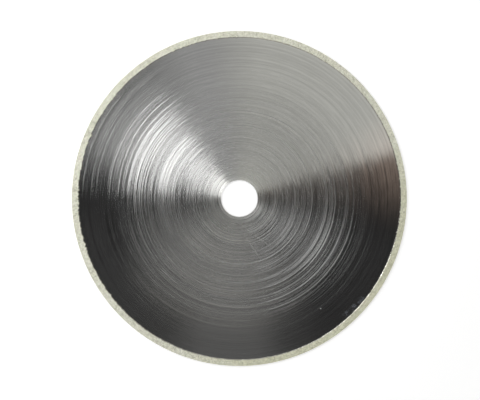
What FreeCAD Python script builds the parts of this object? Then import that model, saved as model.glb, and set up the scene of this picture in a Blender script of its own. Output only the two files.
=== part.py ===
import FreeCAD, Part
import os

import Sketcher

# A diamond cut-off wheel for a sectioning machine: a thin ground steel disc with a plain spindle
# bore, and a continuous diamond rim bonded to the disc's edge. The rim is thicker than the disc and
# stands proud of both faces, so that the disc runs clear in the cut it makes.
# Sizes are in millimetres. The wheel's axis is Z, and its centre, halfway through the thickness,
# is the origin.

SIZES = {
    "wheel_diameter": 203.0,  # over the diamond rim
    "bore_diameter": 22.0,  # slides on the machine's spindle
    "rim_thickness": 0.9,  # the width of the cut
    "rim_depth": 4.0,  # radial depth of the bonded rim
    "side_relief": 0.1,  # how far the rim stands proud of each face of the disc
    "rim_bevel": 0.5,  # radial length of the slope from the disc's face up to the rim's
    "rim_corner": 0.15,  # rounding of the rim's two outer corners
    "bore_chamfer": 0.15,  # deburred edges of the bore
}

# Sizes that follow from the ones above, as expressions on the same sheet.
DERIVED = {
    "wheel_radius": "=wheel_diameter / 2",
    "bore_radius": "=bore_diameter / 2",
    "joint_radius": "=wheel_diameter / 2 - rim_depth",
    "disc_thickness": "=rim_thickness - 2 * side_relief",
}

EDGE_TOLERANCE = 1e-4  # how closely an edge has to match the circle that is looked for


def add_sheet(doc):
    """Puts each size in a cell of its own, with its name as the cell's alias."""
    sheet = doc.addObject("Spreadsheet::Sheet", "Sizes")
    for row, (alias, value) in enumerate({**SIZES, **DERIVED}.items(), start=1):
        sheet.set(f"A{row}", alias)
        sheet.set(f"B{row}", str(value))
        sheet.setAlias(f"B{row}", alias)
    doc.recompute()
    return sheet


def add_body(doc, label):
    """A body whose label is the name of the piece."""
    body = doc.addObject("PartDesign::Body", label)
    body.Label = label
    body.Placement = FreeCAD.Placement()
    return body


def add_sketch(body, name, plane_role):
    """A sketch on one of the body's own origin planes."""
    plane = next(p for p in body.Origin.OriginFeatures if p.Role == plane_role)
    sketch = body.newObject("Sketcher::SketchObject", name)
    sketch.AttachmentSupport = [(plane, "")]
    sketch.MapMode = "FlatFace"
    return sketch


def constrain(sketch, name, expression, *constraint):
    """Adds a dimension to the sketch and ties it to the sheet."""
    index = sketch.addConstraint(Sketcher.Constraint(*constraint))
    sketch.renameConstraint(index, name)
    sketch.setExpression(f"Constraints.{name}", expression)


def circle_edges(shape, radius, height=None):
    """Names of the full circles about Z of one radius, at one distance from mid-thickness if given."""
    names = []
    for number, edge in enumerate(shape.Edges, start=1):
        if not isinstance(edge.Curve, Part.Circle):
            continue
        level = abs(edge.Curve.Center.z)
        if abs(edge.Curve.Radius - radius) > EDGE_TOLERANCE:
            continue
        if height is None or abs(level - height) < EDGE_TOLERANCE:
            names.append(f"Edge{number}")
    return names


def make_disc(doc, sheet):
    """The steel disc: a flat ring from the bore out to the joint with the rim."""
    body = add_body(doc, "steel_disc")

    outline = add_sketch(body, "DiscOutline", "XY_Plane")
    centre = FreeCAD.Vector(0, 0, 0)
    axis = FreeCAD.Vector(0, 0, 1)
    edge = outline.addGeometry(Part.Circle(centre, axis, sheet.joint_radius))
    bore = outline.addGeometry(Part.Circle(centre, axis, sheet.bore_radius))
    outline.addConstraint(Sketcher.Constraint("Coincident", edge, 3, -1, 1))
    outline.addConstraint(Sketcher.Constraint("Coincident", bore, 3, -1, 1))
    constrain(outline, "edge_radius", "Sizes.joint_radius", "Radius", edge, sheet.joint_radius)
    constrain(outline, "bore_radius", "Sizes.bore_radius", "Radius", bore, sheet.bore_radius)

    plate = body.newObject("PartDesign::Pad", "DiscPlate")
    plate.Profile = outline
    plate.SideType = "Symmetric"
    plate.setExpression("Length", "Sizes.disc_thickness")
    doc.recompute()

    deburr = body.newObject("PartDesign::Chamfer", "BoreDeburr")
    deburr.Base = (plate, circle_edges(plate.Shape, sheet.bore_radius))
    deburr.setExpression("Size", "Sizes.bore_chamfer")
    body.Tip = deburr
    doc.recompute()
    return body


def make_rim(doc, sheet):
    """The diamond rim: a ring with the disc's thickness at the joint and its own from the bevel out."""
    body = add_body(doc, "diamond_rim")

    # The section, anticlockwise from the foot of its lower bevel. It is a mirror image about the
    # middle of the thickness.
    section = add_sketch(body, "RimSection", "XZ_Plane")
    joint = sheet.joint_radius
    bevel_top = joint + sheet.rim_bevel
    outside = sheet.wheel_radius
    half_disc = sheet.disc_thickness / 2
    half_rim = sheet.rim_thickness / 2
    corners = [
        (joint, -half_disc),
        (bevel_top, -half_rim),
        (outside, -half_rim),
        (outside, half_rim),
        (bevel_top, half_rim),
        (joint, half_disc),
    ]
    points = [FreeCAD.Vector(radial, axial, 0) for radial, axial in corners]
    lines = [
        section.addGeometry(Part.LineSegment(start, end))
        for start, end in zip(points, points[1:] + points[:1])
    ]
    lower_bevel, lower_side, tread, upper_side, upper_bevel, joint_line = lines
    for line, following in zip(lines, lines[1:] + lines[:1]):
        section.addConstraint(Sketcher.Constraint("Coincident", line, 2, following, 1))
    for line in (lower_side, upper_side):
        section.addConstraint(Sketcher.Constraint("Horizontal", line))
    for line in (tread, joint_line):
        section.addConstraint(Sketcher.Constraint("Symmetric", line, 1, line, 2, -1))
    section.addConstraint(Sketcher.Constraint("Equal", lower_bevel, upper_bevel))
    constrain(section, "joint_radius", "Sizes.joint_radius", "DistanceX", -1, 1, joint_line, 2, joint)
    constrain(section, "wheel_radius", "Sizes.wheel_radius", "DistanceX", -1, 1, tread, 1, outside)
    spans = [
        ("bevel_length", "rim_bevel", "DistanceX", joint_line, 2, lower_side, 1),
        ("rim_width", "rim_thickness", "DistanceY", tread, 1, tread, 2),
        ("joint_width", "disc_thickness", "DistanceY", joint_line, 2, joint_line, 1),
    ]
    for name, size, kind, *ends in spans:
        constrain(section, name, f"Sizes.{size}", kind, *ends, getattr(sheet, size))

    ring = body.newObject("PartDesign::Revolution", "RimRing")
    ring.Profile = section
    ring.ReferenceAxis = (section, ["V_Axis"])
    ring.Angle = 360
    doc.recompute()

    rounding = body.newObject("PartDesign::Fillet", "OuterCorners")
    rounding.Base = (ring, circle_edges(ring.Shape, sheet.wheel_radius, half_rim))
    rounding.setExpression("Radius", "Sizes.rim_corner")
    body.Tip = rounding
    doc.recompute()
    return body


def check(doc, bodies):
    """Stops if an object of the document failed, or a piece has no valid solid."""
    for item in doc.Objects:
        if {"Invalid", "Error"} & set(item.State):
            raise RuntimeError(f"{item.Label} failed: {item.State}")
    for body in bodies:
        if body.Shape.isNull() or not body.Shape.isValid() or len(body.Shape.Solids) != 1:
            raise RuntimeError(f"{body.Label} is not one valid solid")


def main():
    doc = FreeCAD.newDocument("DiamondCutOffWheel")
    sheet = add_sheet(doc)
    bodies = [make_disc(doc, sheet), make_rim(doc, sheet)]
    doc.recompute()
    check(doc, bodies)
    os.makedirs("parts", exist_ok=True)
    for body in bodies:
        body.Shape.exportStep(f"parts/{body.Label}.step")
        print(f"{body.Label}: {body.Shape.Volume:.1f} mm3")


main()
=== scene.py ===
"""The looks of a diamond cut-off wheel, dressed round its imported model.

A thin steel disc, ground in circles on both faces, carries a continuous rim of diamond grains in a
pale metal bond. The wheel lies flat on a white table, with its axis along Z, and the camera looks
straight down on it. Lengths in the classes are in millimetres, and meshes are made in metres.
"""

import logging
import math
from dataclasses import dataclass, field
from enum import Enum

import bpy
import numpy as np
from mathutils import Matrix, Vector


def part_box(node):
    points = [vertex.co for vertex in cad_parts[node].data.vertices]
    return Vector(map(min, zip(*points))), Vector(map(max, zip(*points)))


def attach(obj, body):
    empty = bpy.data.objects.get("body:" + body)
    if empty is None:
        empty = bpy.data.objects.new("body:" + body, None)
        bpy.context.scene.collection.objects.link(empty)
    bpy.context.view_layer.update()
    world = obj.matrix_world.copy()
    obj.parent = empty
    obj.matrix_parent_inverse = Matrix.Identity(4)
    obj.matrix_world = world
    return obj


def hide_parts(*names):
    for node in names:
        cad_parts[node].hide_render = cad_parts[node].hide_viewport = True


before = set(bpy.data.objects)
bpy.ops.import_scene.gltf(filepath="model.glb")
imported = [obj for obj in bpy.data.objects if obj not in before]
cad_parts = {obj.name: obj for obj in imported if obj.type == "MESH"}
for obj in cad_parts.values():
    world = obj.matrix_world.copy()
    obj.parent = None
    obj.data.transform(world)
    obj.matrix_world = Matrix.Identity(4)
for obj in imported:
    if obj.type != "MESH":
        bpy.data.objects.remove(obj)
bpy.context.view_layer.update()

LOG = logging.getLogger("cut_off_wheel")
MM = 0.001
WHITE = (1.0, 1.0, 1.0, 1.0)
ORIGIN = (0.0, 0.0, 0.0)
GRAIN = "grain"  # the attribute that holds how high the rim's surface stands
MIX_FIRST, MIX_SECOND, MIX_RESULT = 6, 7, 2  # where a Mix node keeps its colour sockets
MEASURES = ("LENGTH", "DISTANCE", "DOT_PRODUCT")  # vector operations that give a number
SHARP_ANGLE = math.radians(38)  # edges that turn by more than this stay sharp

Socket = bpy.types.NodeSocket
Node = bpy.types.Node
NodeTree = bpy.types.NodeTree
Material = bpy.types.Material
Object = bpy.types.Object
Feed = Socket | float | tuple[float, ...]
Range = tuple[float, float]
Colour = tuple[float, float, float, float]
Triple = tuple[float, float, float]
Weights = tuple[float, ...]
Stroke = tuple[Triple, Triple]


class Ray(Enum):
    """The kinds of ray that see the white surroundings as the camera does."""

    CAMERA = "Is Camera Ray"
    GLOSSY = "Is Glossy Ray"
    TRANSMISSION = "Is Transmission Ray"


@dataclass
class Graph:
    """A node tree, with short ways to add nodes and join them."""

    tree: NodeTree

    def node(self, kind: str, **settings: object) -> Node:
        """Adds one node.

        Args:
            kind: The node's type name, without its Shader prefix where it has one.
            settings: Properties to set on the node.

        Returns:
            The new node.
        """
        made = self.tree.nodes.new(kind if kind.startswith("Node") else "ShaderNode" + kind)
        for name, value in settings.items():
            setattr(made, name, value)
        return made

    def feed(self, socket: Socket, value: Feed) -> None:
        """Links a socket to what feeds it, or sets it to a plain value.

        Args:
            socket: The input socket.
            value: An output socket, a number or a tuple.
        """
        if isinstance(value, Socket):
            self.tree.links.new(value, socket)
        else:
            socket.default_value = value

    def fill(self, made: Node, **feeds: Feed) -> Node:
        """Feeds a node's inputs by name.

        Args:
            made: The node.
            feeds: What feeds each input, with underscores for the spaces in its name.

        Returns:
            The node.
        """
        for name, value in feeds.items():
            self.feed(made.inputs[name.replace("_", " ")], value)
        return made

    def math(self, operation: str, *values: Feed) -> Socket:
        """One math node.

        Args:
            operation: The node's operation.
            values: What feeds its inputs, in order.

        Returns:
            The node's value.
        """
        made = self.node("Math", operation=operation)
        for socket, value in zip(made.inputs, values):
            self.feed(socket, value)
        return made.outputs[0]

    def vector(self, operation: str, *values: Feed) -> Socket:
        """One vector math node.

        Args:
            operation: The node's operation.
            values: What feeds its inputs, in order. A number for SCALE goes to the scale.

        Returns:
            The node's number for an operation that measures, otherwise its vector.
        """
        made = self.node("VectorMath", operation=operation)
        inputs = (made.inputs[0], made.inputs["Scale"]) if operation == "SCALE" else made.inputs
        for socket, value in zip(inputs, values):
            self.feed(socket, value)
        return made.outputs["Value" if operation in MEASURES else "Vector"]

    def ramp(self, value: Feed, start: Feed, end: Feed, low: Feed = 0.0, high: Feed = 1.0) -> Socket:
        """A smooth step from low to high as value goes from start to end.

        Args:
            value: What the step follows.
            start: Where it leaves low.
            end: Where it reaches high.
            low: The result before start.
            high: The result after end.

        Returns:
            The stepped value.
        """
        made = self.node("MapRange", interpolation_type="SMOOTHSTEP")
        self.fill(made, Value=value, From_Min=start, From_Max=end, To_Min=low, To_Max=high)
        return made.outputs["Result"]

    def rise(self, value: Feed, place: Feed, edge: Feed) -> Socket:
        """A smooth step up at a place, an edge long to each side, or down for an edge below 0."""
        return self.ramp(value, self.math("SUBTRACT", place, edge), self.math("ADD", place, edge))

    def times(self, first: Feed, second: Feed) -> Socket:
        """The product of two values."""
        return self.math("MULTIPLY", first, second)

    def blend(self, factor: Feed, first: Feed, second: Feed) -> Socket:
        """Mixes two colours.

        Args:
            factor: The share of the second colour.
            first: The colour at factor 0.
            second: The colour at factor 1.

        Returns:
            The mixed colour.
        """
        made = self.node("Mix", data_type="RGBA")
        self.feed(made.inputs["Factor"], factor)
        self.feed(made.inputs[MIX_FIRST], first)
        self.feed(made.inputs[MIX_SECOND], second)
        return made.outputs[MIX_RESULT]

    def noise(self, point: Feed, scale: float = 1.0, detail: Feed = 2.0, rough: Feed = 0.5) -> Socket:
        """Fractal noise about 0.5, with detail octaves, each rough times as strong as the last."""
        made = self.node("TexNoise", noise_dimensions="3D")
        return self.fill(made, Vector=point, Scale=scale, Detail=detail, Roughness=rough).outputs["Fac"]

    def clamp(self, value: Feed, low: float, high: float) -> Socket:
        """A value held between a least and a greatest."""
        return self.fill(self.node("Clamp"), Value=value, Min=low, Max=high).outputs[0]

    def raised(self, point: Feed, height: Feed) -> Socket:
        """A point moved along Z."""
        shift = self.fill(self.node("CombineXYZ"), Z=height)
        return self.vector("ADD", point, shift.outputs[0])

    def part(self, vector: Feed, axis: str) -> Socket:
        """One part of a vector: X, Y or Z."""
        return self.fill(self.node("SeparateXYZ"), Vector=vector).outputs[axis]

    def weighted(self, values: tuple[Feed, ...], weights: Weights) -> Socket:
        """Adds up values, each times its weight.

        Args:
            values: The values.
            weights: As many weights, in the same order.

        Returns:
            The sum.
        """
        total: Feed = 0.0
        for value, weight in zip(values, weights, strict=True):
            total = self.math("MULTIPLY_ADD", value, weight, total)
        return total

    def effect(self, group: NodeTree, **feeds: Feed) -> Node:
        """Places a shared effect, and feeds its inputs as fill() does."""
        return self.fill(self.node("Group", node_tree=group), **feeds)


def new_effect(
    name: str, inputs: dict[str, Feed], outputs: dict[str, str]
) -> tuple[Graph, dict[str, Socket], dict[str, Socket]]:
    """Starts a shader node group.

    Args:
        name: The group's name.
        inputs: The default of each input, by name: a number or a vector.
        outputs: The kind of each output, by name: Float or Vector.

    Returns:
        The group's graph, its input values and its output sockets, by name.
    """
    tree = bpy.data.node_groups.new(name, "ShaderNodeTree")
    for label, default in inputs.items():
        kind = "NodeSocketVector" if isinstance(default, tuple) else "NodeSocketFloat"
        tree.interface.new_socket(label, in_out="INPUT", socket_type=kind).default_value = default
    for label, kind in outputs.items():
        tree.interface.new_socket(label, in_out="OUTPUT", socket_type="NodeSocket" + kind)
    graph = Graph(tree)
    given = graph.node("NodeGroupInput")
    result = graph.node("NodeGroupOutput")
    sources = {label: given.outputs[label] for label in inputs}
    return graph, sources, {label: result.inputs[label] for label in outputs}


def ring_place() -> NodeTree:
    """Effect: where a point lies on the wheel.

    It gives the distance from the axis in millimetres, the way outward on the object, the same way in
    the world, and 0 on the front face or 1 on the back.

    Returns:
        The node group.
    """
    graph, given, result = new_effect(
        "ring_place",
        {"Point": ORIGIN},
        {"Radius": "Float", "Outward": "Vector", "World Outward": "Vector", "Back": "Float"},
    )
    flat = graph.vector("MULTIPLY", given["Point"], (1.0, 1.0, 0.0))
    graph.feed(result["Radius"], graph.math("DIVIDE", graph.vector("LENGTH", flat), MM))
    outward = graph.vector("NORMALIZE", flat)
    graph.feed(result["Outward"], outward)
    turn = graph.node("VectorTransform", vector_type="VECTOR", convert_from="OBJECT", convert_to="WORLD")
    graph.feed(turn.inputs[0], outward)
    graph.feed(result["World Outward"], graph.vector("NORMALIZE", turn.outputs[0]))
    graph.feed(result["Back"], graph.math("LESS_THAN", graph.part(given["Point"], "Z"), 0.0))
    return graph.tree


def ring_marks() -> NodeTree:
    """Effect: marks that run in arcs round the axis, from -1 to 1.

    Rings is how many there are to a millimetre outward, Arcs how many to a metre along the arc, Wander
    how far in millimetres they stray from true circles, and Layer picks another set of marks.

    Returns:
        The node group.
    """
    contrast, layer_step = 4.5, 17.0
    drift_scale, drift_rate = 1.4, 0.04
    graph, given, result = new_effect(
        "ring_marks",
        {"Outward": (1.0, 0.0, 0.0), "Radius": 50.0, "Rings": 1.0, "Arcs": 30.0, "Wander": 0.1,
         "Layer": 0.0},
        {"Mark": "Float"},
    )
    drift_height = graph.math("MULTIPLY_ADD", given["Radius"], drift_rate, given["Layer"])
    drift = graph.noise(graph.raised(given["Outward"], drift_height), drift_scale, detail=1.0)
    drift = graph.math("SUBTRACT", drift, 0.5)
    radius = graph.math("MULTIPLY_ADD", graph.times(drift, 2.0), given["Wander"], given["Radius"])
    height = graph.times(radius, given["Rings"])
    height = graph.math("MULTIPLY_ADD", given["Layer"], layer_step, height)
    reach = graph.times(graph.times(given["Radius"], MM), given["Arcs"])
    point = graph.raised(graph.vector("SCALE", given["Outward"], reach), height)
    mark = graph.math("SUBTRACT", graph.noise(point, detail=0.0), 0.5)
    graph.feed(result["Mark"], graph.clamp(graph.times(mark, contrast), -1.0, 1.0))
    return graph.tree


def radial_tilt() -> NodeTree:
    """Effect: the normal and the tangent of a surface with grooves round the axis.

    On the flat faces the normal leans outward by Slope and sideways by Sway. The tangent is the way
    outward, turned by Turn.

    Returns:
        The node group.
    """
    sloped, flat = 0.85, 0.98  # how upright the normal is where the lean begins and where it is full
    graph, given, result = new_effect(
        "radial_tilt",
        {"Outward": (1.0, 0.0, 0.0), "Slope": 0.0, "Sway": 0.0, "Turn": 0.0},
        {"Normal": "Vector", "Tangent": "Vector"},
    )
    normal = graph.node("NewGeometry").outputs["Normal"]
    around = graph.vector("CROSS_PRODUCT", normal, given["Outward"])
    flatness = graph.ramp(graph.math("ABSOLUTE", graph.part(normal, "Z")), sloped, flat)
    lean = graph.vector("SCALE", given["Outward"], graph.times(given["Slope"], flatness))
    sway = graph.vector("SCALE", around, graph.times(given["Sway"], flatness))
    leaned = graph.vector("ADD", normal, graph.vector("ADD", lean, sway))
    graph.feed(result["Normal"], graph.vector("NORMALIZE", leaned))
    turned = graph.vector("SCALE", around, given["Turn"])
    tangent = graph.vector("ADD", given["Outward"], turned)
    graph.feed(result["Tangent"], graph.vector("NORMALIZE", tangent))
    return graph.tree


def line_scratch() -> NodeTree:
    """Effect: a straight scratch from Start to End, in millimetres, with a soft edge and broken up.

    Returns:
        The node group.
    """
    core = 0.3  # the share of the width that is at full strength
    break_scale, break_levels, faintest = 0.35, (0.36, 0.6), 0.25
    graph, given, result = new_effect(
        "line_scratch",
        {"Point": ORIGIN, "Start": ORIGIN, "End": (1.0, 0.0, 0.0), "Width": 0.2},
        {"Mask": "Float"},
    )
    place = graph.vector("SCALE", given["Point"], 1.0 / MM)
    place = graph.vector("MULTIPLY", place, (1.0, 1.0, 0.0))
    run = graph.vector("SUBTRACT", given["End"], given["Start"])
    gone = graph.vector("SUBTRACT", place, given["Start"])
    squared = graph.vector("DOT_PRODUCT", run, run)
    share = graph.math("DIVIDE", graph.vector("DOT_PRODUCT", gone, run), squared)
    held = graph.clamp(share, 0.0, 1.0)
    nearest = graph.vector("ADD", given["Start"], graph.vector("SCALE", run, held))
    away = graph.vector("DISTANCE", place, nearest)
    line = graph.ramp(away, given["Width"], graph.times(given["Width"], core))
    broken = graph.ramp(graph.noise(place, break_scale), *break_levels, faintest, 1.0)
    graph.feed(result["Mask"], graph.times(line, broken))
    return graph.tree


def specks() -> NodeTree:
    """Effect: small scattered spots, each with a width of Spot in millimetres.

    Cell is their spacing in millimetres, and Share is how many of the cells have one.

    Returns:
        The node group.
    """
    graph, given, result = new_effect(
        "specks",
        {"Point": ORIGIN, "Cell": 5.0, "Share": 0.2, "Spot": 0.2},
        {"Mask": "Float"},
    )
    place = graph.vector("SCALE", given["Point"], 1.0 / MM)
    cells = graph.node("TexVoronoi", voronoi_dimensions="3D", feature="F1")
    graph.fill(cells, Vector=place, Scale=graph.math("DIVIDE", 1.0, given["Cell"]))
    near = graph.times(cells.outputs["Distance"], given["Cell"])
    spot = graph.ramp(near, given["Spot"], graph.times(given["Spot"], 0.5))
    chosen = graph.math("LESS_THAN", graph.part(cells.outputs["Color"], "X"), given["Share"])
    graph.feed(result["Mask"], graph.times(spot, chosen))
    return graph.tree


def mottle() -> NodeTree:
    """Effect: soft uneven patches from 0 to 1. Size is a patch's width in millimetres.

    Sharp is half the range of noise that goes from 0 to 1, and Layer picks another set of patches.

    Returns:
        The node group.
    """
    graph, given, result = new_effect(
        "mottle", {"Point": ORIGIN, "Size": 10.0, "Sharp": 0.2, "Layer": 0.0}, {"Patch": "Float"}
    )
    place = graph.vector("SCALE", given["Point"], graph.math("DIVIDE", 1.0 / MM, given["Size"]))
    value = graph.noise(graph.raised(place, given["Layer"]), detail=3.0, rough=0.55)
    graph.feed(result["Patch"], graph.rise(value, 0.5, given["Sharp"]))
    return graph.tree


def soft_panel() -> NodeTree:
    """Effect: a soft-edged panel of light in the dome overhead.

    It is placed by its azimuths and its angles from the zenith, all in degrees. Start Edge is the
    softness of its side at the low azimuth, Stop Edge of the other side and End Edge of both ends.

    Returns:
        The node group.
    """
    graph, given, result = new_effect(
        "soft_panel",
        {"Azimuth": 0.0, "Polar": 0.0, "Middle": 0.0, "Half Width": 30.0, "Near": 10.0, "Far": 30.0,
         "Start Edge": 5.0, "Stop Edge": 5.0, "End Edge": 3.0},
        {"Mask": "Float"},
    )
    away = graph.math("WRAP", graph.math("SUBTRACT", given["Azimuth"], given["Middle"]), 180.0, -180.0)
    start = graph.rise(away, graph.times(given["Half Width"], -1.0), given["Start Edge"])
    stop = graph.rise(away, given["Half Width"], graph.times(given["Stop Edge"], -1.0))
    near = graph.rise(given["Polar"], given["Near"], given["End Edge"])
    far = graph.rise(given["Polar"], given["Far"], graph.times(given["End Edge"], -1.0))
    graph.feed(result["Mask"], graph.times(graph.times(start, stop), graph.times(near, far)))
    return graph.tree


@dataclass(frozen=True)
class Effects:
    """The shared effects, each built once."""

    place: NodeTree = field(default_factory=ring_place)
    marks: NodeTree = field(default_factory=ring_marks)
    tilt: NodeTree = field(default_factory=radial_tilt)
    scratch: NodeTree = field(default_factory=line_scratch)
    specks: NodeTree = field(default_factory=specks)
    mottle: NodeTree = field(default_factory=mottle)
    panel: NodeTree = field(default_factory=soft_panel)


def empty_graph(owner: Material | bpy.types.World) -> Graph:
    """Clears the nodes of a material or a world.

    Args:
        owner: The material or world.

    Returns:
        Its graph.
    """
    owner.use_nodes = True
    owner.node_tree.nodes.clear()
    return Graph(owner.node_tree)


def new_object(name: str, data: bpy.types.ID) -> Object:
    """Adds an object to the scene.

    Args:
        name: Its name.
        data: Its mesh, light or camera.

    Returns:
        The new object.
    """
    made = bpy.data.objects.new(name, data)
    bpy.context.scene.collection.objects.link(made)
    return made


def new_material(name: str) -> tuple[Material, Graph, Node, Socket]:
    """An empty node material.

    Args:
        name: The material's name.

    Returns:
        The material, its graph, its Principled shader and the object coordinates.
    """
    material = bpy.data.materials.new(name)
    graph = empty_graph(material)
    shader = graph.node("BsdfPrincipled")
    output = graph.node("OutputMaterial")
    graph.feed(output.inputs["Surface"], shader.outputs[0])
    return material, graph, shader, graph.node("TexCoord").outputs["Object"]


@dataclass(frozen=True)
class MarkLayer:
    """One layer of marks, with the inputs of the ring_marks effect."""

    rings: float
    arcs: float
    layer: float
    wander: float = 0.1


@dataclass(frozen=True)
class PatchLayer:
    """One layer of soft patches, with the inputs of the mottle effect."""

    size: float
    sharp: float
    layer: float

    def place(self, graph: Graph, effects: Effects, point: Socket) -> Socket:
        """Adds the layer to a material.

        Args:
            graph: The material's graph.
            effects: The shared effects.
            point: The point on the object.

        Returns:
            The patches, from 0 to 1.
        """
        made = graph.effect(
            effects.mottle, Point=point, Size=self.size, Sharp=self.sharp, Layer=self.layer
        )
        return made.outputs["Patch"]


@dataclass(frozen=True)
class GroundSteel:
    """Steel ground in circles: dense grooves round the hub, ever fewer on smooth metal further out.

    Lengths, such as the zones between two radii, are in millimetres. Weights follow the order in which
    material() names the layers that they belong to.
    """

    effects: Effects
    colour: Colour = (0.56, 0.56, 0.55, 1.0)
    hub_colour: Colour = (0.61, 0.61, 0.59, 1.0)
    dust: Colour = (0.85, 0.85, 0.82, 1.0)
    smudge: Colour = (0.72, 0.76, 0.88, 1.0)
    groove_roughness: float = 0.25
    smooth_roughness: Range = (0.17, 0.085)
    hub_roughness: float = 0.035
    hub_lean: float = 0.05
    anisotropy: float = 0.86
    groove_lean: float = 0.11
    smooth_lean: Range = (0.06, 0.042)
    smooth_swing: float = 0.4
    cut_depths: Range = (0.35, 0.12)
    groove_zone: Range = (42.0, 92.0)
    groove_levels: Range = (-0.1, 0.26)
    groove_edge: float = 0.13
    bare_zone: Range = (90.0, 98.0)
    bare_level: float = 0.6
    fading_zone: Range = (50.0, 92.0)
    faded_depth: float = 0.2
    hub_zone: Range = (31.0, 11.0)
    bore_zone: Range = (18.0, 12.5)
    bore_level: float = -0.35
    # painted highlight: the steel's colour is made lighter in a narrow ring round the bore's edge
    lip_highlight_zone: Range = (13.4, 11.2)
    lip_highlight: float = 0.3
    lines: MarkLayer = MarkLayer(rings=1.2, arcs=6.5, layer=52.2)
    hairs: MarkLayer = MarkLayer(rings=2.0, arcs=8.0, layer=57.3)
    threads: MarkLayer = MarkLayer(rings=3.1, arcs=8.0, layer=59.4)
    breaks: MarkLayer = MarkLayer(rings=1.2, arcs=60.0, layer=7.0)
    grains: MarkLayer = MarkLayer(rings=1.8, arcs=140.0, layer=4.0)
    depths: MarkLayer = MarkLayer(rings=1.0, arcs=6.0, layer=5.0)
    cuts: MarkLayer = MarkLayer(rings=1.8, arcs=8.0, layer=6.0)
    back_shift: float = 7.3
    pattern_weights: Weights = (0.12, 0.46, 0.54, 0.08, 0.01)
    swing_weights: Weights = (0.03, 0.02, 0.008)
    smooth_depth: float = 0.1
    sway: float = 0.015
    turn_weights: Weights = (0.02, 0.02)
    cut_breaks: float = 0.2
    cut_levels: Range = (0.5, 1.0)
    uneven_weights: Weights = (0.06, 1.0, 0.5, 0.8)
    tone_weights: Weights = (0.04, 0.03, 0.03)
    scratch_width: float = 0.28
    smudge_width: float = 2.2
    smudge_share: float = 0.6
    dust_cell: float = 7.0
    dust_share: float = 0.3
    dust_size: float = 0.3
    dust_roughness: float = 0.4
    scratches: tuple[Stroke, ...] = (
        ((-28.8, 93.1, 0.0), (-35.9, 80.8, 0.0)),
        ((-4.4, -11.8, 0.0), (17.4, -28.2, 0.0)),
        ((3.0, -22.0, 0.0), (13.5, -38.0, 0.0)),
    )
    smudges: tuple[Stroke, ...] = (
        ((72.6, -62.2, 0.0), (74.2, -60.4, 0.0)),
        ((67.6, -67.2, 0.0), (69.6, -65.2, 0.0)),
        ((64.0, -70.6, 0.0), (65.4, -69.4, 0.0)),
    )

    def material(self) -> Material:
        """Makes the finish of the two ground faces.

        Returns:
            The material.
        """
        material, graph, shader, point = new_material("ground_steel_face")
        place = graph.effect(self.effects.place, Point=point)
        radius = place.outputs["Radius"]
        hub = graph.ramp(radius, *self.hub_zone)
        layers = (self.lines, self.hairs, self.threads, self.breaks, self.grains, self.depths, self.cuts)
        lines, hairs, threads, breaks, grains, depths, cuts = (
            self.marks(graph, place, layer) for layer in layers
        )
        groove = self.groove(graph, radius, (lines, hairs, threads, breaks, grains))
        scratched = self.drawn(graph, place, point, self.scratches, self.scratch_width)
        smudged = self.drawn(graph, place, point, self.smudges, self.smudge_width)
        dust = graph.effect(
            self.effects.specks, Point=point, Cell=self.dust_cell, Share=self.dust_share,
            Spot=self.dust_size,
        )
        dusty = dust.outputs["Mask"]

        smooth_lean = graph.ramp(radius, *self.groove_zone, *self.smooth_lean)
        lean = graph.ramp(groove, 0.0, 1.0, smooth_lean, self.groove_lean)
        lean = graph.math("MULTIPLY_ADD", hub, self.hub_lean, lean)
        swing = graph.weighted((depths, hairs, grains), self.swing_weights)
        depth = graph.ramp(groove, 0.0, 1.0, self.smooth_depth, 1.0)
        sharp = graph.ramp(groove, 0.0, 1.0, self.smooth_swing, 1.0)
        slope = graph.math("MULTIPLY_ADD", swing, sharp, lean)
        tilt = graph.effect(
            self.effects.tilt, Outward=place.outputs["World Outward"], Slope=slope,
            Sway=graph.times(graph.times(grains, depth), self.sway),
            Turn=graph.times(graph.weighted((lines, depths), self.turn_weights), depth),
        )

        smooth_roughness = graph.ramp(radius, *self.groove_zone, *self.smooth_roughness)
        even = graph.ramp(groove, 0.0, 1.0, smooth_roughness, self.groove_roughness)
        even = graph.math("MULTIPLY_ADD", hub, self.hub_roughness, even)
        cut = graph.ramp(graph.math("MULTIPLY_ADD", breaks, self.cut_breaks, cuts), *self.cut_levels)
        cut = graph.times(cut, graph.ramp(radius, *self.groove_zone, *self.cut_depths))
        uneven = graph.weighted((depths, cut, scratched, smudged), self.uneven_weights)
        roughness = graph.times(even, graph.math("ADD", uneven, 1.0))
        tone = graph.weighted((depths, lines, grains), self.tone_weights)
        # painted highlight: a lighter ring of colour at the bore's edge
        tone = graph.math("ADD", tone, graph.ramp(radius, *self.lip_highlight_zone, 1.0, 1.0 + self.lip_highlight))
        colour = graph.blend(hub, self.colour, self.hub_colour)
        colour = graph.blend(graph.times(smudged, self.smudge_share), colour, self.smudge)
        colour = graph.blend(dusty, colour, self.dust)

        graph.fill(
            shader, Base_Color=graph.vector("SCALE", colour, tone),
            Roughness=graph.math("MULTIPLY_ADD", dusty, self.dust_roughness, roughness),
            Normal=tilt.outputs["Normal"], Tangent=tilt.outputs["Tangent"],
            Metallic=1.0, Anisotropic=self.anisotropy,
        )
        return material

    def groove(self, graph: Graph, radius: Socket, layers: tuple[Socket, ...]) -> Socket:
        """Where the metal is grooved: nearly all over round the hub, in ever fewer arcs further out.

        Args:
            graph: The material's graph.
            radius: The distance from the axis, in millimetres.
            layers: The layers of marks that make up the grooves.

        Returns:
            0 on smooth metal, and in a groove how deep it is, up to 1.
        """
        level = graph.ramp(radius, *self.groove_zone, *self.groove_levels)
        for zone, change in ((self.bare_zone, self.bare_level), (self.bore_zone, self.bore_level)):
            level = graph.math("ADD", level, graph.ramp(radius, *zone, 0.0, change))
        groove = graph.rise(graph.weighted(layers, self.pattern_weights), level, self.groove_edge)
        return graph.times(groove, graph.ramp(radius, *self.fading_zone, 1.0, self.faded_depth))

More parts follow.
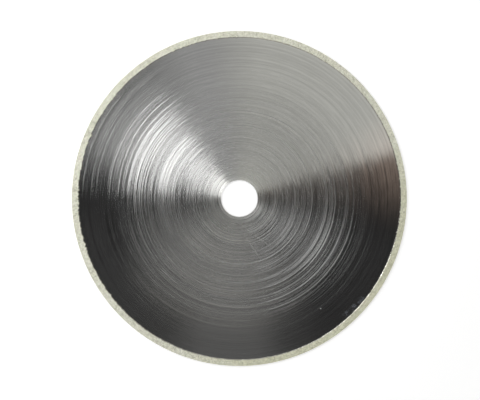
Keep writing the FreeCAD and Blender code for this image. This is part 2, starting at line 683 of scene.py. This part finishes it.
    def drawn(
        self, graph: Graph, place: Node, point: Socket, strokes: tuple[Stroke, ...], width: float
    ) -> Socket:
        """The few straight scratches or smudges on the front face.

        Args:
            graph: The material's graph.
            place: The node that tells where the point lies.
            point: The point on the object.
            strokes: The two ends of each one, in millimetres.
            width: Half their width, in millimetres.

        Returns:
            1 in a stroke and 0 elsewhere.
        """
        total: Feed = 0.0
        for start, end in strokes:
            line = graph.effect(self.effects.scratch, Point=point, Start=start, End=end, Width=width)
            total = graph.math("MAXIMUM", total, line.outputs["Mask"])
        return graph.times(total, graph.math("SUBTRACT", 1.0, place.outputs["Back"]))

    def marks(self, graph: Graph, place: Node, marks: MarkLayer) -> Socket:
        """One layer of grinding marks, other ones on the back than on the front.

        Args:
            graph: The material's graph.
            place: The node that tells where the point lies.
            marks: The layer.

        Returns:
            The marks, from -1 to 1.
        """
        layer = graph.math("MULTIPLY_ADD", place.outputs["Back"], self.back_shift, marks.layer)
        made = graph.effect(
            self.effects.marks, Outward=place.outputs["Outward"], Radius=place.outputs["Radius"],
            Rings=marks.rings, Arcs=marks.arcs, Wander=marks.wander, Layer=layer,
        )
        return made.outputs["Mark"]


@dataclass(frozen=True)
class PatchedMetal:
    """Bright metal with duller patches."""

    effects: Effects
    name: str
    colour: Colour
    dull: Colour
    patches: PatchLayer
    roughness: Range
    metal: float

    def material(self) -> Material:
        """Makes the finish.

        Returns:
            The material.
        """
        material, graph, shader, point = new_material(self.name)
        patch = self.patches.place(graph, self.effects, point)
        graph.fill(
            shader, Base_Color=graph.blend(patch, self.colour, self.dull), Metallic=self.metal,
            Roughness=graph.ramp(patch, 0.0, 1.0, *self.roughness),
        )
        return material

    @classmethod
    def turned_steel(cls, effects: Effects) -> "PatchedMetal":
        """Plain turned steel, for the bore's wall and its deburred edges."""
        return cls(
            effects, "turned_steel_bore", colour=(0.62, 0.62, 0.60, 1.0), dull=(0.48, 0.48, 0.47, 1.0),
            patches=PatchLayer(size=1.2, sharp=0.25, layer=4.0), roughness=(0.28, 0.42), metal=1.0,
        )

    @classmethod
    def bond_fillet(cls, effects: Effects) -> "PatchedMetal":
        """The bright metal of the bond where it slopes down to the disc."""
        return cls(
            effects, "bond_fillet", colour=(0.78, 0.77, 0.71, 1.0), dull=(0.52, 0.51, 0.43, 1.0),
            patches=PatchLayer(size=2.0, sharp=0.2, layer=6.0), roughness=(0.07, 0.15), metal=0.9,
        )


@dataclass(frozen=True)
class DiamondBond:
    """A pale metal bond full of diamond grains, dressed to a gritty surface."""

    effects: Effects
    cream: Colour = (0.71, 0.71, 0.59, 1.0)
    green: Colour = (0.62, 0.65, 0.50, 1.0)
    pink: Colour = (0.74, 0.66, 0.56, 1.0)
    grain_light: Colour = (0.84, 0.84, 0.76, 1.0)
    hollow_dark: Colour = (0.36, 0.35, 0.27, 1.0)
    wide: PatchLayer = PatchLayer(size=11.0, sharp=0.2, layer=1.0)
    blotch: PatchLayer = PatchLayer(size=2.6, sharp=0.2, layer=2.0)
    small: PatchLayer = PatchLayer(size=0.9, sharp=0.13, layer=3.0)
    green_share: float = 0.55
    pink_share: float = 0.2
    grain_heights: Range = (0.55, 1.0)
    grain_share: float = 0.45
    hollow_heights: Range = (0.4, 0.0)
    hollow_share: float = 0.5
    shades: Range = (0.92, 1.12)
    roughness: Range = (0.75, 0.45)
    crumbs: float = 7.0
    crumb_strength: float = 0.5
    crumb_height: float = 0.03
    metal: float = 0.15
    # painted shade: the rim is painted darker round this azimuth, on the side away from the soft box
    painted_shade_azimuth: float = 316.0
    painted_shade_reach: Range = (66.0, 42.0)
    painted_shade_tint: Colour = (0.92, 0.92, 0.84, 1.0)

    def material(self) -> Material:
        """Makes the finish.

        Returns:
            The material.
        """
        material, graph, shader, point = new_material("diamond_bond")
        wide, blotch, small = (
            layer.place(graph, self.effects, point) for layer in (self.wide, self.blotch, self.small)
        )
        height = graph.node("Attribute", attribute_name=GRAIN).outputs["Fac"]
        colour = graph.blend(graph.times(blotch, self.green_share), self.cream, self.green)
        colour = graph.blend(graph.times(wide, self.pink_share), colour, self.pink)
        light = graph.ramp(height, *self.grain_heights, 0.0, self.grain_share)
        colour = graph.blend(light, colour, self.grain_light)
        dark = graph.ramp(height, *self.hollow_heights, 0.0, self.hollow_share)
        colour = graph.blend(dark, colour, self.hollow_dark)
        # painted shade: the bond's colour is darkened along the side of the rim away from the soft box
        colour = graph.vector("MULTIPLY", colour, self.painted_side_shade(graph, point))
        shade = graph.ramp(small, 0.0, 1.0, *self.shades)
        crumb = graph.noise(graph.vector("SCALE", point, 1.0 / MM), self.crumbs)
        bump = graph.node("Bump")
        graph.fill(bump, Height=crumb, Strength=self.crumb_strength, Distance=self.crumb_height * MM)
        graph.fill(
            shader, Base_Color=graph.vector("SCALE", colour, shade), Metallic=self.metal,
            Roughness=graph.ramp(height, 0.0, 1.0, *self.roughness), Normal=bump.outputs["Normal"],
        )
        return material

    def painted_side_shade(self, graph: Graph, point: Socket) -> Socket:
        """Painted shade round the wheel: the bond is darker along the stretch that faces away from the
        soft box.

        Args:
            graph: The material's graph.
            point: The point on the object.

        Returns:
            What to multiply the colour by.
        """
        outward = graph.effect(self.effects.place, Point=point).outputs["Outward"]
        middle = math.radians(self.painted_shade_azimuth)
        along = graph.vector("DOT_PRODUCT", outward, (math.cos(middle), math.sin(middle), 0.0))
        reach = (math.cos(math.radians(angle)) for angle in self.painted_shade_reach)
        return graph.blend(graph.ramp(along, *reach), WHITE, self.painted_shade_tint)


def smooth_field(rows: int, columns: int, spread: Range, seed: int) -> np.ndarray:
    """A random field that joins up with itself at all four edges, with a spread of 1.

    Args:
        rows: Its rows.
        columns: Its columns.
        spread: How many rows and columns each patch takes up.
        seed: What the random numbers start from.

    Returns:
        The field.
    """
    raw = np.random.default_rng(seed).normal(size=(rows, columns))
    row_rate = np.fft.fftfreq(rows)[:, None]
    column_rate = np.fft.fftfreq(columns)[None, :]
    keep = np.exp(-2 * (np.pi * spread[0] * row_rate) ** 2 - 2 * (np.pi * spread[1] * column_rate) ** 2)
    smoothed = np.fft.ifft2(np.fft.fft2(raw) * keep).real
    return (smoothed - smoothed.mean()) / smoothed.std()


def swept_ring(name: str, radii: np.ndarray, heights: np.ndarray, slots: list[int]) -> Object:
    """A closed ring about Z, from the places of its section's points at each turn.

    Args:
        name: The piece's name.
        radii: Distance from the axis in millimetres, a row for each turn and a column for each point.
        heights: Height in millimetres, laid out the same way.
        slots: The material slot of the strip that starts at each point.

    Returns:
        The new object.
    """
    turns, points = radii.shape
    angles = np.arange(turns)[:, None] * (2 * math.pi / turns)
    places = np.stack([radii * np.cos(angles), radii * np.sin(angles), heights], axis=-1) * MM
    row, column = np.meshgrid(np.arange(turns), np.arange(points), indexing="ij")
    next_row, next_column = (row + 1) % turns, (column + 1) % points
    corners = [(row, column), (row, next_column), (next_row, next_column), (next_row, column)]
    quads = np.stack([r * points + c for r, c in corners], axis=-1).reshape(-1, 4)
    mesh = bpy.data.meshes.new(name)
    mesh.from_pydata(places.reshape(-1, 3).tolist(), [], quads.tolist())
    mesh.polygons.foreach_set("material_index", np.tile(np.array(slots, dtype=np.int32), turns))
    mesh.shade_smooth()
    mesh.set_sharp_from_angle(angle=SHARP_ANGLE)
    mesh.update()
    return new_object(name, mesh)


@dataclass
class SteelDisc:
    """The thin steel core, ground on both faces and deburred at the bore."""

    effects: Effects
    bore_radius: float = 11.0
    chamfer: float = 0.15
    turns: int = 720
    face_rings: int = 42
    wave: float = 0.018
    wave_fade: float = 9.0
    wave_spread: Range = (60.0, 9.0)
    wave_seed: int = 21
    edge_radius: float = field(init=False)
    half_thickness: float = field(init=False)
    face: np.ndarray = field(init=False)

    def __post_init__(self) -> None:
        """Takes the disc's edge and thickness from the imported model."""
        low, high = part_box("steel_disc")
        self.edge_radius = high.x / MM
        self.half_thickness = (high.z - low.z) / 2 / MM
        self.face = np.linspace(self.bore_radius + self.chamfer, self.edge_radius, self.face_rings)

    def build(self) -> Object:
        """Makes the disc and dresses it.

        Returns:
            The disc.
        """
        radii, heights, slots = self.section()
        radii = np.tile(radii, (self.turns, 1))
        heights = np.tile(heights, (self.turns, 1))
        heights += self.waviness(radii.shape[1])
        disc = swept_ring("steel_disc_ground", radii, heights, slots)
        disc.data.materials.append(GroundSteel(self.effects).material())
        disc.data.materials.append(PatchedMetal.turned_steel(self.effects).material())
        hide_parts("steel_disc")
        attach(disc, "root")
        return disc

    def section(self) -> tuple[np.ndarray, np.ndarray, list[int]]:
        """The disc's section, out along the front face and back along the other.

        Returns:
            The radii and heights of its points, and the material slot of the strip from each one.
        """
        front = [(radius, self.half_thickness) for radius in self.face]
        wall = self.half_thickness - self.chamfer
        back = [(radius, -height) for radius, height in reversed(front)]
        bore = [(self.bore_radius, -wall), (self.bore_radius, wall)]
        points = np.array(front + back + bore)
        slots = [0] * (2 * self.face_rings - 1) + [1, 1, 1]
        return points[:, 0], points[:, 1], slots

    def waviness(self, points: int) -> np.ndarray:
        """How far the sheet's middle strays from flat: a few hundredths, and nothing at the bore and rim.

        Args:
            points: The points of the section.

        Returns:
            The heights to add in millimetres, a row for each turn.
        """
        bulge = smooth_field(self.turns, self.face_rings, self.wave_spread, self.wave_seed)
        inside = np.minimum(self.face - self.face[0], self.face[-1] - self.face)
        reach = np.clip(inside / self.wave_fade, 0, 1)
        wave = self.wave * np.clip(bulge / 2, -1, 1) * reach * reach * (3 - 2 * reach)
        still = np.zeros((self.turns, points - 2 * self.face_rings))
        return np.hstack([wave, wave[:, ::-1], still])


@dataclass
class DiamondRim:
    """The continuous rim: bond and grains, with a bright sloped foot on the disc."""

    effects: Effects
    depth: float = 4.0
    bevel: float = 0.5
    corner: float = 0.15
    relief: float = 0.1
    turns: int = 2200
    grit: float = 0.06
    sunk_in: float = 0.005
    creep: float = 0.07
    ragged: float = 0.42
    ragged_azimuth: float = 168.0
    lumps: int = 80
    lump_widths: Range = (0.15, 0.32)
    lump_heights: Range = (0.1, 0.4)
    border_seeds: tuple[int, int] = (31, 32)
    border_spread: Range = (1.1, 1.0)
    border_mean: float = 0.4
    border_swing: float = 0.6
    border_most: float = 1.8
    grain_spread: Range = (0.5, 0.5)
    clump_spread: Range = (3.0, 2.5)
    grain_mean: float = 0.55
    grain_swing: float = 0.3
    clump_swing: float = 0.14
    outer_radius: float = field(init=False)
    half_thickness: float = field(init=False)
    joint_radius: float = field(init=False)

    def __post_init__(self) -> None:
        """Takes the rim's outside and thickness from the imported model."""
        low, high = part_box("diamond_rim")
        self.outer_radius = high.x / MM
        self.half_thickness = (high.z - low.z) / 2 / MM
        self.joint_radius = self.outer_radius - self.depth

    def build(self) -> Object:
        """Makes the rim and dresses it.

        Returns:
            The rim.
        """
        section = self.section()
        count = len(section)
        radii = np.tile(section[:, 0], (self.turns, 1))
        heights = np.tile(section[:, 1], (self.turns, 1))
        run = np.roll(section[:, :2], -1, axis=0) - np.roll(section[:, :2], 1, axis=0)
        run /= np.linalg.norm(run, axis=1)[:, None]
        level = self.grain_level(count)
        sunk = self.grit * (1 - level) * section[:, 2]
        radii += run[:, 1] * sunk
        heights -= run[:, 0] * sunk
        upper, lower = (self.border(seed) for seed in self.border_seeds)
        radii -= np.outer(upper, section[:, 3]) + np.outer(lower, section[:, 4])
        rim = swept_ring("diamond_rim_bond", radii, heights, self.slots(section))
        grain = rim.data.attributes.new(GRAIN, "FLOAT", "POINT")
        grain.data.foreach_set("value", level.astype(np.float32).ravel())
        rim.data.materials.append(DiamondBond(self.effects).material())
        rim.data.materials.append(PatchedMetal.bond_fillet(self.effects).material())
        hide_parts("diamond_rim")
        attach(rim, "root")
        return rim

    def grain_level(self, count: int) -> np.ndarray:
        """How high each point of the surface stands, from 0 in a hollow to 1 on top of a grain.

        Args:
            count: The points of the section.

        Returns:
            The levels, a row for each turn.
        """
        grains = smooth_field(self.turns, count, self.grain_spread, seed=11)
        clumps = smooth_field(self.turns, count, self.clump_spread, seed=12)
        return np.clip(self.grain_mean + self.grain_swing * grains + self.clump_swing * clumps, 0, 1)

    def border(self, seed: int) -> np.ndarray:
        """How far the bond creeps onto the disc at each turn, with small lumps here and there.

        Args:
            seed: What the random numbers start from.

        Returns:
            The distances in millimetres, none below 0.
        """
        azimuth = np.arange(self.turns) * (2 * math.pi / self.turns) - math.radians(self.ragged_azimuth)
        reach = self.creep + self.ragged * np.clip(np.cos(azimuth), 0, 1)
        stray = smooth_field(self.turns, 1, self.border_spread, seed)[:, 0]
        creep = np.clip(self.border_mean + self.border_swing * stray, 0, self.border_most) * reach
        random = np.random.default_rng(seed)
        spacing = 2 * math.pi * self.joint_radius / self.turns
        for _ in range(self.lumps):
            middle = random.uniform(0, self.turns)
            width = random.uniform(*self.lump_widths) / spacing
            away = (np.arange(self.turns) - middle + self.turns / 2) % self.turns - self.turns / 2
            creep += random.uniform(*self.lump_heights) * np.exp(-((away / width) ** 2))
        return creep

    def section(self) -> np.ndarray:
        """The rim's section, from its upper foot outward and round to the lower one.

        Returns:
            For each point its radius, height and grit, and how far it follows the upper border and the
            lower one.
        """
        top, foot = self.half_thickness, self.half_thickness - self.relief
        steps = (  # the share of the slope's length and of its rise, and how far it follows the border
            (0.0, -self.sunk_in / self.relief, 1.0), (0.05, 0.07, 0.95), (0.2, 0.225, 0.85),
            (0.45, 0.467, 0.8), (0.7, 0.709, 0.8), (0.94, 0.941, 0.8),
        )
        rows = [
            (self.joint_radius + share * self.bevel, foot + rise * self.relief, 0.0, follow)
            for share, rise, follow in steps
        ]
        start = self.joint_radius + self.bevel
        stop = self.outer_radius - self.corner
        follows = [0.8, 0.3] + [0.0] * 9
        across = np.linspace(start, stop, len(follows))
        rows += [(radius, top, 1.0, follow) for radius, follow in zip(across, follows)]
        for step in (1, 2):
            turn = step * math.pi / 6
            drop = self.corner * (1 - math.cos(turn))
            rows.append((stop + self.corner * math.sin(turn), top - drop, 1.0, 0.0))
        rows += [(self.outer_radius, height, 1.0, 0.0) for height in np.linspace(top - self.corner, 0, 3)]
        upper = [(*row, 0.0) for row in rows]
        lower = [(radius, -height, grit, 0.0, follow) for radius, height, grit, follow in rows[-2::-1]]
        return np.array(upper + lower)

    @staticmethod
    def slots(section: np.ndarray) -> list[int]:
        """The slot of each strip: 0 for the gritty bond, 1 for the bright foot and the hidden joint."""
        bare = section[:, 2] == 0
        return [int(here or after) for here, after in zip(bare, np.roll(bare, -1))]


@dataclass(frozen=True)
class SoftPanel:
    """One soft light in the dome overhead, in degrees.

    It is placed by the middle and half width of its azimuths, and by how near to the zenith it comes and
    how far from it. The edges say how soft it is at its low azimuth, at its high one, and at its ends.
    """

    middle: float
    half_width: float
    near: float
    far: float
    strength: float
    edges: Triple
    tint: Triple = (1.0, 1.0, 1.0)


@dataclass(frozen=True)
class SoftBox:
    """A near lamp with a rectangular face, aimed at the wheel. Angles are in degrees."""

    azimuth: float = 151.5
    polar: float = 52.0
    distance: float = 650.0
    width: float = 345.0
    height: float = 560.0
    radiance: float = 3.9

    def build(self) -> None:
        """Makes the lamp and aims it at the origin."""
        data = bpy.data.lights.new("soft_box", "AREA")
        data.shape = "RECTANGLE"
        data.size, data.size_y = self.width * MM, self.height * MM
        data.energy = self.radiance * math.pi * data.size * data.size_y
        azimuth, polar = math.radians(self.azimuth), math.radians(self.polar)
        outward = Vector((math.cos(azimuth), math.sin(azimuth), 0.0))
        away = outward * math.sin(polar) + Vector((0.0, 0.0, math.cos(polar)))
        across = Vector((-math.sin(azimuth), math.cos(azimuth), 0.0))
        turn = Matrix((across, away.cross(across), away)).transposed().to_4x4()
        lamp = new_object("soft_box", data)
        lamp.matrix_world = Matrix.Translation(away * self.distance * MM) @ turn


@dataclass
class Studio:
    """The white table, the soft lights and the camera over the wheel."""

    effects: Effects
    table_height: float
    camera_height: float = 450.0
    nearest_seen: float = 10.0
    frame_width: float = 480.0
    wheel_radius_in_frame: float = 167.6
    wheel_centre_in_frame: Range = (239.3, 198.45)
    frame_centre: Range = (240.0, 200.0)
    gloom: float = 0.016
    table_reach: float = 3000.0
    table_colour: Colour = (0.8, 0.8, 0.8, 1.0)
    table_glow: float = 0.4
    soft_box: SoftBox = SoftBox()
    panels: tuple[SoftPanel, ...] = (  # the values follow the order of SoftPanel's fields
        SoftPanel(144, 15.5, 6.7, 10.1, 5.4, (17.5, 11.5, 1.3)),
        SoftPanel(145, 20, 13.2, 16.2, 0.5, (12, 9, 1.6)),
        SoftPanel(157, 24, 12.1, 13.4, 0.155, (20, 13, 1.3)),
        SoftPanel(55.2, 38.3, 7, 40, 0.56, (3, 13, 2.5), tint=(1, 1, 0.94)),
        SoftPanel(109, 14.5, 5.3, 66, 0.44, (12, 15.5, 3.3)),
        SoftPanel(132, 9, 32, 58, 1.2, (4, 12, 5.3)),
        SoftPanel(243, 52, 32, 58, 0.45, (9, 9, 4.4)),
        SoftPanel(216, 14, 6.6, 8.7, 1.45, (14, 14, 1.2)),
        SoftPanel(255, 36, 0.5, 8.5, 1.25, (17.5, 22, 6.7), tint=(1.02, 1, 0.95)),
        SoftPanel(314, 27, 32, 58, 1.02, (6.5, 9, 9)),
        SoftPanel(333, 15, 32, 58, 0.45, (6, 9, 9)),
        SoftPanel(15, 8.5, 14.8, 20, 0.45, (20, 12, 2), tint=(1, 0.76, 0.63)),
        SoftPanel(53, 37, 49, 60, 0.32, (14, 23, 3.5)),
        SoftPanel(59, 36, 13.5, 36, 0.1, (7, 12, 2.5), tint=(1, 1, 0.94)),
        SoftPanel(300, 55, 14, 22, 0.02, (15, 12, 2)),
        SoftPanel(330, 17, 5, 10, 0.1, (12, 12, 2)),
        SoftPanel(265, 17, 12, 20, 0.07, (10, 8, 3)),
        SoftPanel(238, 56, 15.6, 19.5, 0.052, (12, 14, 1.8)),
        SoftPanel(0, 200, 59, 130, 1.0, (1, 1, 4)),
    )

    def build(self, wheel_radius: float) -> None:
        """Sets up the table, the lights, the camera and the view transform.

        Args:
            wheel_radius: The wheel's radius in millimetres.
        """
        self.make_table()
        self.make_world()
        self.soft_box.build()
        self.make_camera(wheel_radius)
        bpy.context.scene.view_settings.view_transform = "Standard"

    def make_table(self) -> None:
        """The white table that the wheel lies on."""
        reach, height = self.table_reach * MM, self.table_height * MM
        mesh = bpy.data.meshes.new("table_top")
        corners = [(-reach, -reach), (reach, -reach), (reach, reach), (-reach, reach)]
        mesh.from_pydata([(x, y, height) for x, y in corners], [], [(0, 1, 2, 3)])
        table = new_object("table_top", mesh)
        material = bpy.data.materials.new("white_table")
        graph = empty_graph(material)
        diffuse = graph.fill(graph.node("BsdfDiffuse"), Color=self.table_colour)
        seen = graph.times(self.sees_white(graph), self.table_glow)
        glow = graph.fill(graph.node("Emission"), Strength=seen)
        both = graph.node("AddShader")
        graph.feed(both.inputs[0], diffuse.outputs[0])
        graph.feed(both.inputs[1], glow.outputs[0])
        graph.feed(graph.node("OutputMaterial").inputs["Surface"], both.outputs[0])
        mesh.materials.append(material)

    @staticmethod
    def sees_white(graph: Graph) -> Socket:
        """Whether a ray is one that sees the white surroundings.

        Args:
            graph: The graph of the table's material.

        Returns:
            1 for a ray of those kinds, otherwise 0.
        """
        path = graph.node("LightPath")
        kinds = tuple(path.outputs[ray.value] for ray in Ray)
        return graph.math("MINIMUM", graph.weighted(kinds, (1.0,) * len(kinds)), 1.0)

    def make_world(self) -> None:
        """The dome overhead: dark, with soft panels and a white backdrop low down all round."""
        world = bpy.data.worlds.new("studio_dome")
        bpy.context.scene.world = world
        graph = empty_graph(world)
        way = graph.fill(graph.node("SeparateXYZ"), Vector=graph.node("TexCoord").outputs["Generated"])
        degree = math.degrees(1.0)
        azimuth = graph.times(graph.math("ARCTAN2", way.outputs["Y"], way.outputs["X"]), degree)
        polar = graph.times(graph.math("ARCCOSINE", way.outputs["Z"]), degree)
        light = (self.gloom,) * 3
        for panel in self.panels:
            start, stop, end = panel.edges
            mask = graph.effect(
                self.effects.panel, Azimuth=azimuth, Polar=polar, Middle=panel.middle,
                Half_Width=panel.half_width, Near=panel.near, Far=panel.far,
                Start_Edge=start, Stop_Edge=stop, End_Edge=end,
            )
            strength = graph.times(mask.outputs["Mask"], panel.strength)
            light = graph.vector("ADD", light, graph.vector("SCALE", panel.tint, strength))
        seen = graph.node("LightPath").outputs[Ray.CAMERA.value]
        colour = graph.blend(seen, light, WHITE)
        background = graph.fill(graph.node("Background"), Color=colour)
        graph.feed(graph.node("OutputWorld").inputs["Surface"], background.outputs[0])

    def make_camera(self, wheel_radius: float) -> None:
        """The camera, looking straight down from where the photograph was taken.

        Args:
            wheel_radius: The wheel's radius in millimetres.
        """
        scale = wheel_radius / self.wheel_radius_in_frame
        data = bpy.data.cameras.new("camera")
        top = -self.table_height
        data.lens = data.sensor_width * (self.camera_height - top) / (self.frame_width * scale)
        data.clip_start = self.nearest_seen * MM
        camera = new_object("camera", data)
        camera.location = (
            (self.frame_centre[0] - self.wheel_centre_in_frame[0]) * scale * MM,
            (self.wheel_centre_in_frame[1] - self.frame_centre[1]) * scale * MM,
            self.camera_height * MM,
        )
        bpy.context.scene.camera = camera


def main() -> None:
    """Builds the wheel's pieces and the studio, and reports each piece."""
    logging.basicConfig(level=logging.INFO, format="%(name)s: %(message)s")
    effects = Effects()
    disc = SteelDisc(effects)
    rim = DiamondRim(effects)
    for piece in (disc.build(), rim.build()):
        LOG.info("%s: %d faces", piece.name, len(piece.data.polygons))
    studio = Studio(effects, table_height=-rim.half_thickness)
    studio.build(rim.outer_radius)


if __name__ == "__main__":
    main()
